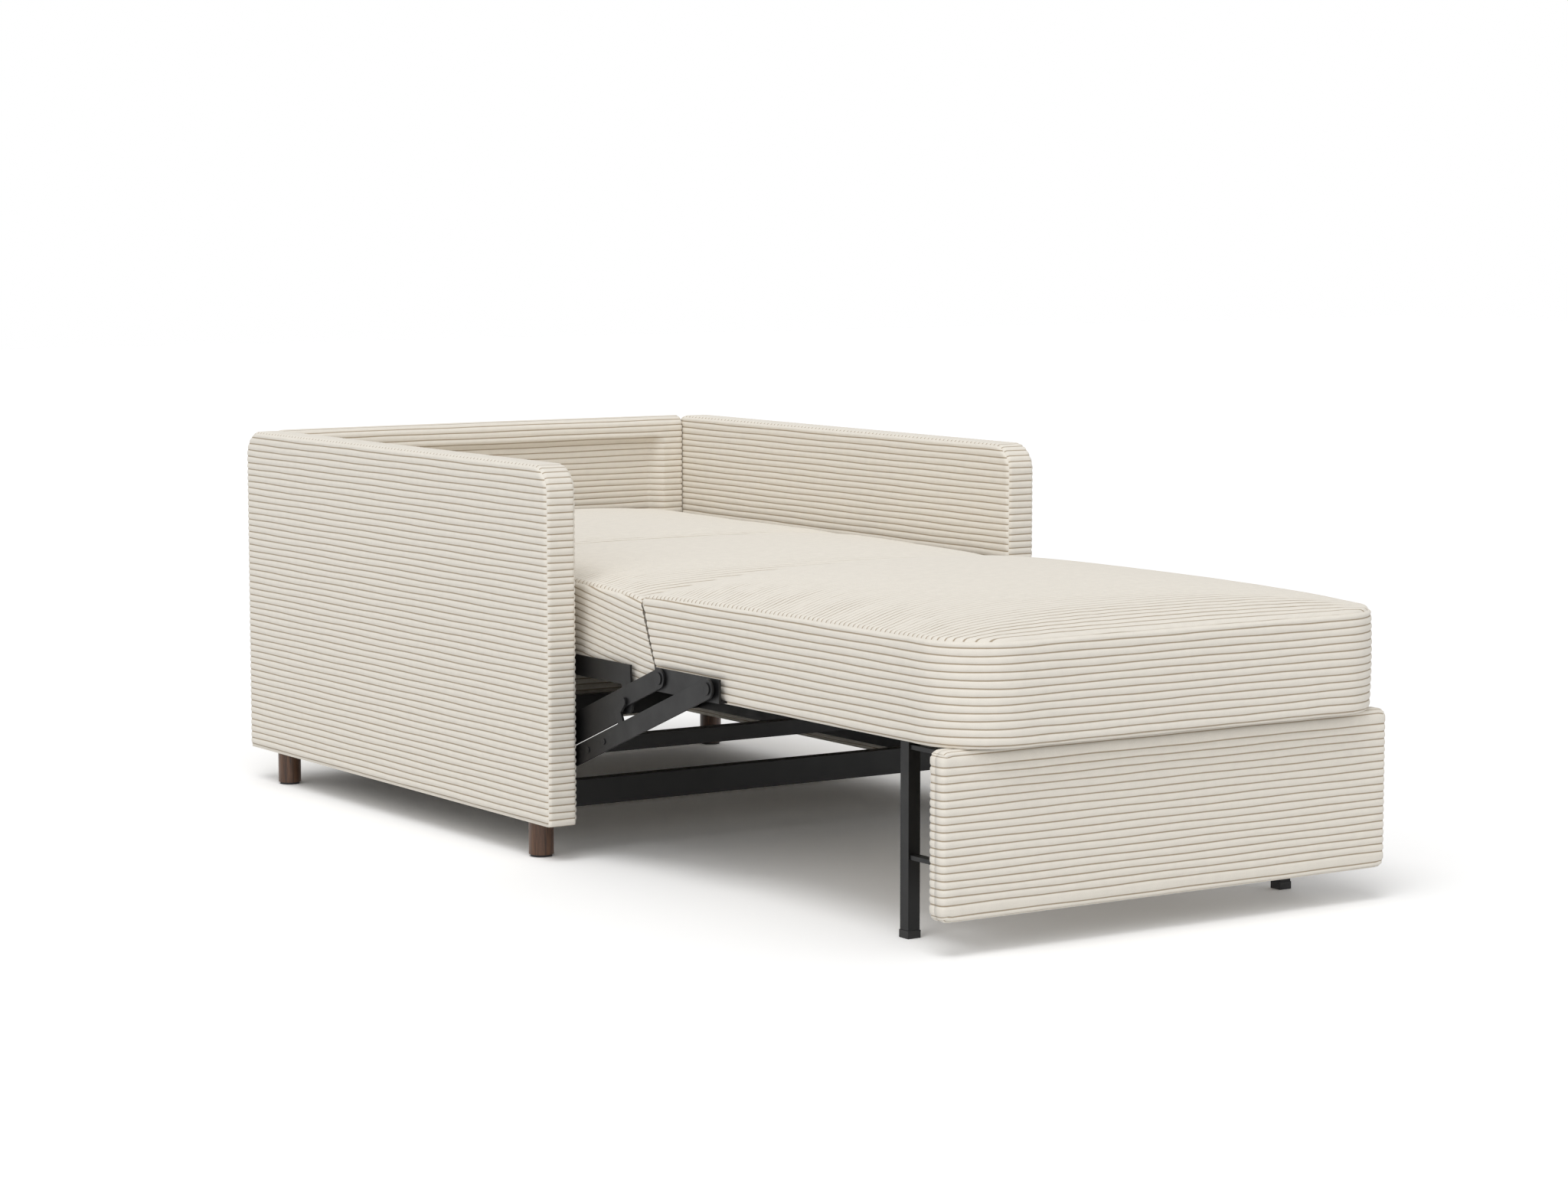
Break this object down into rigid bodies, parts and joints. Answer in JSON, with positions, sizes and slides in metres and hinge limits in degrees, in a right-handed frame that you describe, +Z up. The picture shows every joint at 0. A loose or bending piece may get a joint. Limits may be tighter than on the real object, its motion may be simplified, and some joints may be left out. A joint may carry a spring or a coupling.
{
  "type": "convertible chair bed",
  "caption": "Upholstered armchair whose seat slides forward on swing links and unfolds into a single bed.",
  "frame": {"origin": "on the floor, under the middle of the open bed's bounding box", "axes": "+Z up; -Y to the foot of the bed, where the chair's front is; +X to the right hand side seen from the foot"},
  "size_m": [1, 2.157, 0.657],
  "materials": {
    "corduroy": "wide-wale corduroy, pale cream",
    "inner_board": "bare board under the upholstery",
    "walnut_leg": "turned wood, dark walnut stain, satin lacquer",
    "glide_plastic": "black floor glide",
    "bolt_steel": "plain bolt",
    "slat_wood": "bent beech slat",
    "cap_plastic": "black push-on leg cap",
    "black_steel": "black powder coat, satin"
  },
  "bodies": {
    "base": {"arm_board_left": "inner_board", "arm_board_right": "inner_board", "arm_cover_left": "corduroy", "arm_cover_right": "corduroy", "back_board": "inner_board", "back_cover": "corduroy", "base_front_crossbar": "black_steel", "base_rear_crossbar": "black_steel", "base_side_rail_left": "black_steel", "base_side_rail_right": "black_steel", "head_pivot_bracket_left": "black_steel", "head_pivot_bracket_right": "black_steel", "leg_bolts": "bolt_steel", "leg_glides": "glide_plastic", "mechanism_plate_left": "black_steel", "mechanism_plate_right": "black_steel", "wooden_leg_front_left": "walnut_leg", "wooden_leg_front_right": "walnut_leg", "wooden_leg_rear_left": "walnut_leg", "wooden_leg_rear_right": "walnut_leg"},
    "head_section": {"head_cross_tubes": "black_steel", "head_mattress": "corduroy", "head_pivot_plate_left": "black_steel", "head_pivot_plate_right": "black_steel", "head_ridge_lugs": "black_steel", "head_side_rail_left": "black_steel", "head_side_rail_right": "black_steel", "head_slats": "slat_wood"},
    "middle_section": {"middle_cross_tubes": "black_steel", "middle_fold_arms": "black_steel", "middle_mattress": "corduroy", "middle_rail_left": "black_steel", "middle_rail_right": "black_steel", "middle_ridge_lugs": "black_steel", "middle_ridge_rod": "black_steel", "middle_side_rail_left": "black_steel", "middle_side_rail_right": "black_steel", "middle_slats": "slat_wood"},
    "seat_section": {"front_panel_board": "inner_board", "front_panel_cover": "corduroy", "link_bracket_left": "black_steel", "link_bracket_right": "black_steel", "panel_struts": "black_steel", "seat_cross_tubes": "black_steel", "seat_fold_arms": "black_steel", "seat_fold_rod": "black_steel", "seat_mattress": "corduroy", "seat_side_rail_left": "black_steel", "seat_side_rail_right": "black_steel", "seat_slats": "slat_wood", "steel_leg_caps": "cap_plastic", "steel_leg_left": "black_steel", "steel_leg_right": "black_steel"},
    "link_a": {"link_a_left": "black_steel", "link_a_right": "black_steel", "link_a_rivets": "black_steel"},
    "link_b": {"link_b_left": "black_steel", "link_b_right": "black_steel", "link_b_rivets": "black_steel", "link_b_tube": "black_steel"}
  },
  "joints": [
    {"name": "head_fold", "type": "hinge", "parent": "base", "child": "head_section", "pos_m": [0, 0.9785, 0.42], "axis": [-1, 0, 0], "range_deg": [0, 85.44]},
    {"name": "middle_fold", "type": "hinge", "parent": "head_section", "child": "middle_section", "pos_m": [0, 0.3825, 0.306], "axis": [1, 0, 0], "range_deg": [0, 171]},
    {"name": "seat_fold", "type": "hinge", "parent": "middle_section", "child": "seat_section", "pos_m": [0, -0.2135, 0.42], "axis": [-1, 0, 0], "range_deg": [0, 85.5]},
    {"name": "link_a_swing", "type": "hinge", "parent": "base", "child": "link_a", "pos_m": [0, 0.1555, 0.161], "axis": [-1, 0, 0], "range_deg": [0, 138]},
    {"name": "link_b_swing", "type": "hinge", "parent": "base", "child": "link_b", "pos_m": [0, 0.0055, 0.161], "axis": [-1, 0, 0], "range_deg": [0, 138]}
  ],
  "couplings": [
    {"joint": "middle_fold", "follows": "head_fold", "ratio": 2},
    {"joint": "seat_fold", "follows": "head_fold", "ratio": 1},
    {"joint": "link_a_swing", "follows": "head_fold", "ratio": 1.6124},
    {"joint": "link_b_swing", "follows": "head_fold", "ratio": 1.6124}
  ]
}
